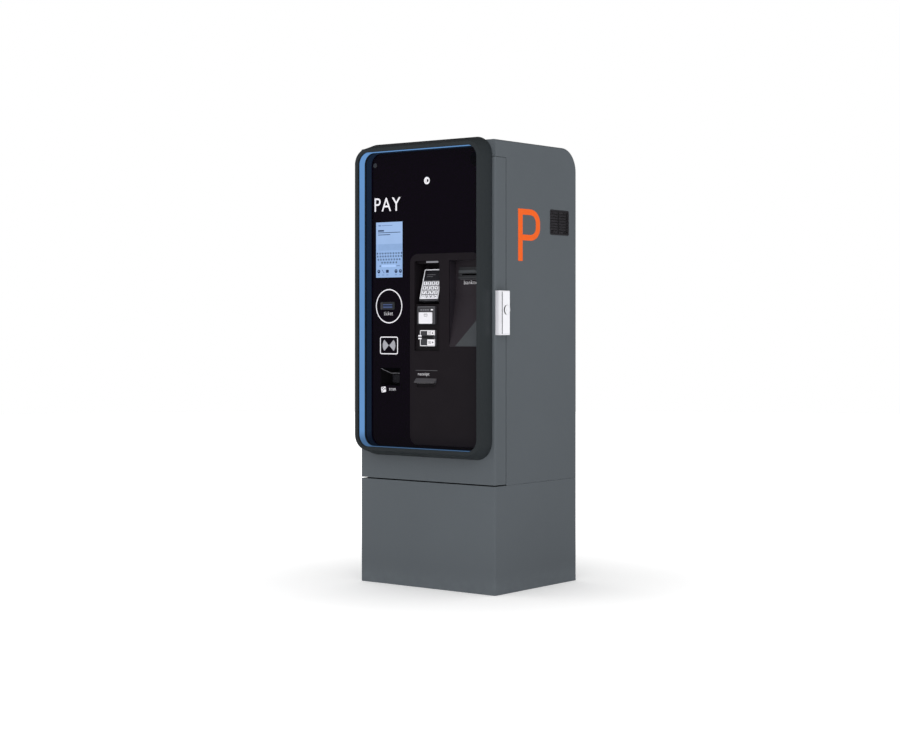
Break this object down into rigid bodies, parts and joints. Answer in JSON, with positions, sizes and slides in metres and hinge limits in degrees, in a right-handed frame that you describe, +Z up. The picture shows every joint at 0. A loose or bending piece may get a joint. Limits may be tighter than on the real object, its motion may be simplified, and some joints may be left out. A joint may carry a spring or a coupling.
{
  "type": "ticket vending machine",
  "caption": "Free-standing ticket vending machine: steel plinth and cabinet, side-hung front door with a deep lit bezel, black glass, display, card and banknote modules.",
  "frame": {"origin": "centre of the cabinet's footprint on the floor", "axes": "+Z up, front faces -Y, +X to the right seen from the front"},
  "size_m": [0.7045, 0.6015, 1.713],
  "materials": {
    "cabinet_paint": "fine-textured powder coat, satin",
    "zinc_steel": "zinc-plated sheet",
    "bezel_paint": "dark grey satin powder coat",
    "light_diffuser": "opal blue light diffuser, emissive",
    "black_glass": "toughened black-printed glass, polished",
    "seal_rubber": "soft black seal",
    "hinge_steel": "plated steel",
    "lock_white": "light silver lacquer, satin",
    "panel_plastic": "moulded dark plastic, fine texture",
    "reader_black": "moulded black plastic, semi-gloss",
    "key_silver": "silver-grey keys",
    "module_case": "dark coated sheet case",
    "cassette_grey": "light grey coated case",
    "slot_metal": "anodised, satin",
    "vent_black": "black moulded plastic",
    "battery_plastic": "moulded case",
    "paper": "thermal paper"
  },
  "bodies": {
    "cabinet": {"plinth": "cabinet_paint", "anchor_plate": "zinc_steel", "body_floor": "zinc_steel", "rear_body": "cabinet_paint", "door_seal": "seal_rubber", "hinge_fixed": "hinge_steel", "hinge_pins": "hinge_steel", "fixing_screws": "hinge_steel", "vent_grille": "vent_black", "fan_housing": "vent_black", "mounting_plate": "zinc_steel", "power_supply": "cassette_grey", "controller_unit": "module_case", "backup_battery": "battery_plastic"},
    "door": {"door_shell": "cabinet_paint", "hinge_moving": "hinge_steel", "module_rails": "zinc_steel", "bezel_frame": "bezel_paint", "light_strip": "light_diffuser", "front_glass": "black_glass", "display_module": "module_case", "ticket_bezel": "slot_metal", "ticket_unit": "module_case", "proximity_reader": "module_case", "scan_hood": "panel_plastic", "barcode_scanner": "module_case", "camera_unit": "slot_metal", "module_panel": "panel_plastic", "pos_pocket": "panel_plastic", "contactless_reader": "reader_black", "chip_reader": "reader_black", "pinpad_housing": "reader_black", "note_pocket": "panel_plastic", "note_bezel": "panel_plastic", "note_acceptor": "module_case", "note_cassette": "cassette_grey", "receipt_hood": "panel_plastic", "receipt_printer": "module_case", "lock_housing": "lock_white"},
    "fan_rotor": {"fan_rotor": "vent_black"},
    "paper_roll": {"paper_roll": "paper"},
    "lock_rotor": {"lock_rotor": "lock_white"},
    "latch_rod_upper": {"latch_rod_upper": "hinge_steel"},
    "latch_rod_lower": {"latch_rod_lower": "hinge_steel"},
    "key_01": {"key_01": "key_silver"},
    "key_02": {"key_02": "key_silver"},
    "key_03": {"key_03": "key_silver"},
    "key_04": {"key_04": "key_silver"},
    "key_05": {"key_05": "key_silver"},
    "key_06": {"key_06": "key_silver"},
    "key_07": {"key_07": "key_silver"},
    "key_08": {"key_08": "key_silver"},
    "key_09": {"key_09": "key_silver"},
    "key_10": {"key_10": "key_silver"},
    "key_11": {"key_11": "key_silver"},
    "key_12": {"key_12": "key_silver"},
    "key_13": {"key_13": "key_silver"},
    "key_14": {"key_14": "key_silver"},
    "key_15": {"key_15": "key_silver"},
    "key_16": {"key_16": "key_silver"}
  },
  "joints": [
    {"name": "door_hinge", "type": "hinge", "parent": "cabinet", "child": "door", "pos_m": [-0.338, -0.2, 1.022], "axis": [0, 0, -1], "range_deg": [0, 110]},
    {"name": "fan_spin", "type": "hinge", "parent": "cabinet", "child": "fan_rotor", "pos_m": [0.31, 0.15, 1.406], "axis": [1, 0, 0], "continuous": true},
    {"name": "paper_roll_spin", "type": "hinge", "parent": "door", "child": "paper_roll", "pos_m": [0.017, -0.16, 0.81], "axis": [1, 0, 0], "continuous": true},
    {"name": "lock_turn", "type": "hinge", "parent": "door", "child": "lock_rotor", "pos_m": [0.359, -0.235, 1.064], "axis": [1, 0, 0], "range_deg": [0, 90]},
    {"name": "latch_rod_upper_slide", "type": "slide", "parent": "door", "child": "latch_rod_upper", "axis": [0, 0, 1], "range_m": [0, 0.018]},
    {"name": "latch_rod_lower_slide", "type": "slide", "parent": "door", "child": "latch_rod_lower", "axis": [0, 0, -1], "range_m": [0, 0.018]},
    {"name": "key_01_press", "type": "slide", "parent": "door", "child": "key_01", "axis": [0, 0.9608, -0.2773], "range_m": [0, 0.0012], "stiffness_N_per_m": 800},
    {"name": "key_02_press", "type": "slide", "parent": "door", "child": "key_02", "axis": [0, 0.9608, -0.2773], "range_m": [0, 0.0012], "stiffness_N_per_m": 800},
    {"name": "key_03_press", "type": "slide", "parent": "door", "child": "key_03", "axis": [0, 0.9608, -0.2773], "range_m": [0, 0.0012], "stiffness_N_per_m": 800},
    {"name": "key_04_press", "type": "slide", "parent": "door", "child": "key_04", "axis": [0, 0.9608, -0.2773], "range_m": [0, 0.0012], "stiffness_N_per_m": 800},
    {"name": "key_05_press", "type": "slide", "parent": "door", "child": "key_05", "axis": [0, 0.9608, -0.2773], "range_m": [0, 0.0012], "stiffness_N_per_m": 800},
    {"name": "key_06_press", "type": "slide", "parent": "door", "child": "key_06", "axis": [0, 0.9608, -0.2773], "range_m": [0, 0.0012], "stiffness_N_per_m": 800},
    {"name": "key_07_press", "type": "slide", "parent": "door", "child": "key_07", "axis": [0, 0.9608, -0.2773], "range_m": [0, 0.0012], "stiffness_N_per_m": 800},
    {"name": "key_08_press", "type": "slide", "parent": "door", "child": "key_08", "axis": [0, 0.9608, -0.2773], "range_m": [0, 0.0012], "stiffness_N_per_m": 800},
    {"name": "key_09_press", "type": "slide", "parent": "door", "child": "key_09", "axis": [0, 0.9608, -0.2773], "range_m": [0, 0.0012], "stiffness_N_per_m": 800},
    {"name": "key_10_press", "type": "slide", "parent": "door", "child": "key_10", "axis": [0, 0.9608, -0.2773], "range_m": [0, 0.0012], "stiffness_N_per_m": 800},
    {"name": "key_11_press", "type": "slide", "parent": "door", "child": "key_11", "axis": [0, 0.9608, -0.2773], "range_m": [0, 0.0012], "stiffness_N_per_m": 800},
    {"name": "key_12_press", "type": "slide", "parent": "door", "child": "key_12", "axis": [0, 0.9608, -0.2773], "range_m": [0, 0.0012], "stiffness_N_per_m": 800},
    {"name": "key_13_press", "type": "slide", "parent": "door", "child": "key_13", "axis": [0, 0.9608, -0.2773], "range_m": [0, 0.0012], "stiffness_N_per_m": 800},
    {"name": "key_14_press", "type": "slide", "parent": "door", "child": "key_14", "axis": [0, 0.9608, -0.2773], "range_m": [0, 0.0012], "stiffness_N_per_m": 800},
    {"name": "key_15_press", "type": "slide", "parent": "door", "child": "key_15", "axis": [0, 0.9608, -0.2773], "range_m": [0, 0.0012], "stiffness_N_per_m": 800},
    {"name": "key_16_press", "type": "slide", "parent": "door", "child": "key_16", "axis": [0, 0.9608, -0.2773], "range_m": [0, 0.0012], "stiffness_N_per_m": 800}
  ],
  "couplings": [
    {"joint": "latch_rod_upper_slide", "follows": "lock_turn", "m_per_rad": 0.011458},
    {"joint": "latch_rod_lower_slide", "follows": "lock_turn", "m_per_rad": 0.011458}
  ]
}
